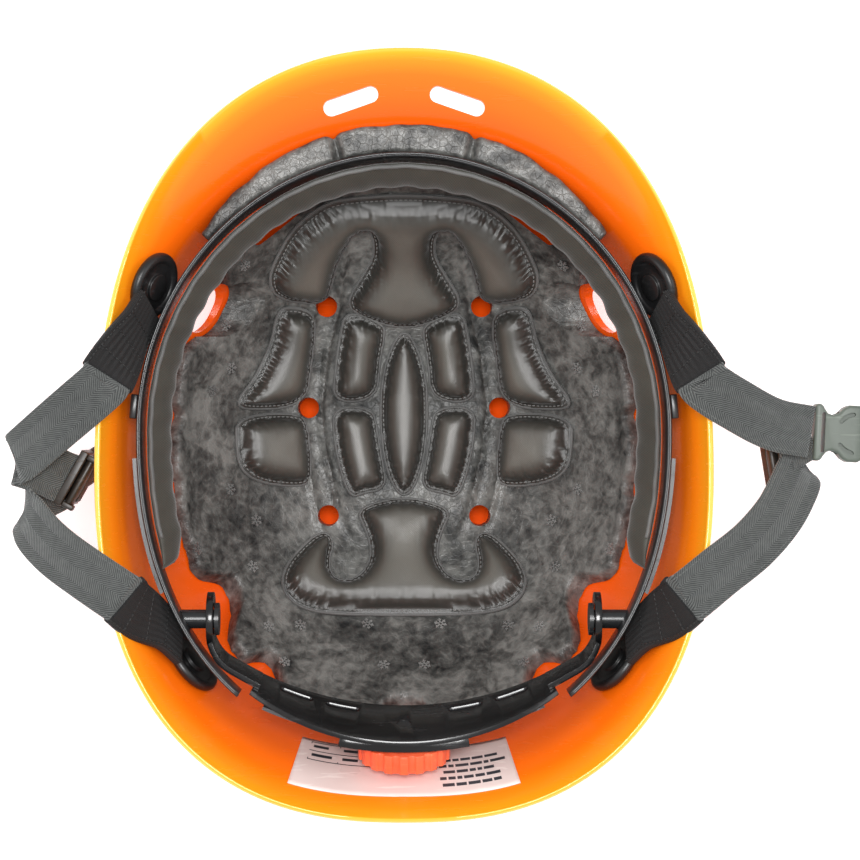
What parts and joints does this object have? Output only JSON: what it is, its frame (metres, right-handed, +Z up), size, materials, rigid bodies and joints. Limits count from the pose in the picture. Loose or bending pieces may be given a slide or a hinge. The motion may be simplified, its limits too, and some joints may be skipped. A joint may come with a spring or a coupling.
{
  "type": "arborist helmet",
  "caption": "Tree-work and climbing helmet lying on its crown: shell, foam liner, pads, headband with nape wheel, and chin straps with dividers and a side-release buckle.",
  "frame": {"origin": "centre of the flat spot on the crown that the helmet lies on", "axes": "+Z up out of the head opening, +Y to the front brim, +X to the wearer's side that carries the female buckle in this view"},
  "size_m": [0.3109, 0.28, 0.1433],
  "materials": {
    "shell_plastic": "translucent orange moulded plastic, glossy",
    "foam": "moulded bead foam, mottled grey",
    "pad_fabric": "satin-faced padded fabric, piped edges",
    "band_plastic": "black moulded plastic, satin",
    "gloss_black": "black moulded plastic, glossy",
    "wheel_plastic": "coral moulded plastic",
    "webbing": "grey herringbone webbing",
    "sleeve_fabric": "black stitched sleeve",
    "buckle_plastic": "grey-green moulded plastic",
    "divider_plastic": "brown-grey moulded plastic",
    "label_film": "translucent white film",
    "rivet_plastic": "black moulded plastic"
  },
  "bodies": {
    "root": {"shell": "shell_plastic", "liner": "foam", "front_liner": "foam", "crown_pad": "pad_fabric", "brow_pad": "pad_fabric", "headband": "band_plastic", "band_rail_left": "band_plastic", "band_rail_right": "band_plastic", "band_clip_left": "band_plastic", "band_clip_right": "band_plastic", "size_label": "label_film", "anchor_front_left": "gloss_black", "anchor_front_right": "gloss_black", "anchor_rear_left": "gloss_black", "anchor_rear_right": "gloss_black", "anchor_rivets": "rivet_plastic", "sleeve_front_left": "sleeve_fabric", "sleeve_front_right": "sleeve_fabric", "sleeve_rear_left": "sleeve_fabric", "sleeve_rear_right": "sleeve_fabric", "pivot_pin_left": "gloss_black", "pivot_pin_right": "gloss_black"},
    "cradle": {"nape_cradle": "gloss_black", "adjuster_housing": "band_plastic"},
    "wheel": {"adjuster_wheel": "wheel_plastic", "pinion": "band_plastic", "hub_cap": "wheel_plastic"},
    "rack_left": {"rack_left": "band_plastic"},
    "rack_right": {"rack_right": "band_plastic"},
    "strap_left": {"web_front_left": "webbing", "web_return_left": "webbing", "web_rear_left": "webbing", "chin_web_left": "webbing", "divider_left": "divider_plastic", "divider_ears_left": "divider_plastic", "buckle_male": "buckle_plastic"},
    "lever_left": {"divider_lever_left": "divider_plastic"},
    "strap_right": {"web_front_right": "webbing", "web_return_right": "webbing", "web_rear_right": "webbing", "divider_right": "divider_plastic", "divider_ears_right": "divider_plastic", "buckle_female": "buckle_plastic"},
    "lever_right": {"divider_lever_right": "divider_plastic"}
  },
  "joints": [
    {"name": "nape_tilt", "type": "hinge", "parent": "root", "child": "cradle", "pos_m": [0, -0.07, 0.108], "axis": [1, 0, 0], "range_deg": [-10, 3.4]},
    {"name": "wheel_turn", "type": "hinge", "parent": "cradle", "child": "wheel", "pos_m": [0, -0.10737, 0.118], "axis": [0, -0.951, -0.3091], "range_deg": [-120, 120]},
    {"name": "rack_left_slide", "type": "hinge", "parent": "cradle", "child": "rack_left", "pos_m": [0, 0.0145, 0.118], "axis": [0, 0, 1], "range_deg": [-3.4, 3.4]},
    {"name": "rack_right_slide", "type": "hinge", "parent": "cradle", "child": "rack_right", "pos_m": [0, 0.0145, 0.118], "axis": [0, 0, 1], "range_deg": [-3.4, 3.4]},
    {"name": "strap_left_lift", "type": "hinge", "parent": "root", "child": "strap_left", "pos_m": [-0.1075, 0.0175, 0.136], "axis": [-0.0839, 0.9939, -0.071], "range_deg": [0, 60]},
    {"name": "strap_right_lift", "type": "hinge", "parent": "root", "child": "strap_right", "pos_m": [0.1075, 0.0175, 0.136], "axis": [-0.0839, -0.9939, 0.071], "range_deg": [0, 60]},
    {"name": "lever_left_open", "type": "hinge", "parent": "strap_left", "child": "lever_left", "pos_m": [-0.11844, -0.0192, 0.1195], "axis": [-0.4848, -0.8746, 0], "range_deg": [0, 35]},
    {"name": "lever_right_open", "type": "hinge", "parent": "strap_right", "child": "lever_right", "pos_m": [0.13504, -0.01305, 0.1195], "axis": [-0.1564, 0.9877, 0], "range_deg": [0, 35]}
  ],
  "couplings": [
    {"joint": "rack_left_slide", "follows": "wheel_turn", "ratio": -0.02742},
    {"joint": "rack_right_slide", "follows": "wheel_turn", "ratio": 0.02742}
  ]
}
